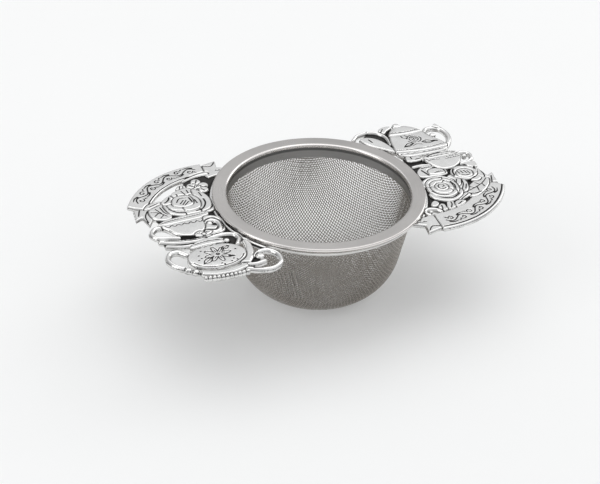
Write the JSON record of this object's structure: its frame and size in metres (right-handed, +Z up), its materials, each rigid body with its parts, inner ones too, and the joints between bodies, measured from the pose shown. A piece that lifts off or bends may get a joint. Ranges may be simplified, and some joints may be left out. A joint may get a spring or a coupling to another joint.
{
  "type": "tea strainer",
  "caption": "Wire-cloth tea strainer basket with a flat rim flange, resting in a ring with a cast relief handle on each side that spans a cup.",
  "frame": {"origin": "on the surface the strainer stands on, under the centre of the basket", "axes": "+Z up out of the basket's mouth, the handles along X with the teapot-side-up handle at +X, +Y away from the viewer for whom the relief is upright"},
  "size_m": [0.1344, 0.0816, 0.04],
  "materials": {
    "flange_steel": "fine circular brushing",
    "wire_cloth": "woven stainless wire",
    "band_steel": "bright",
    "ring_steel": "polished",
    "antique_casting": "antiqued, blackened in the recesses and rubbed bright on top",
    "rivet_steel": "plain"
  },
  "bodies": {
    "holder": {"holder_ring": "ring_steel", "left_handle": "antique_casting", "right_handle": "antique_casting", "left_rivets": "rivet_steel", "right_rivets": "rivet_steel"},
    "basket": {"rim_flange": "flange_steel", "mesh_cup": "wire_cloth", "clamp_band": "band_steel"}
  },
  "joints": [
    {"name": "basket_lift", "type": "slide", "parent": "holder", "child": "basket", "axis": [0, 0, 1], "range_m": [0, 0.045]}
  ]
}
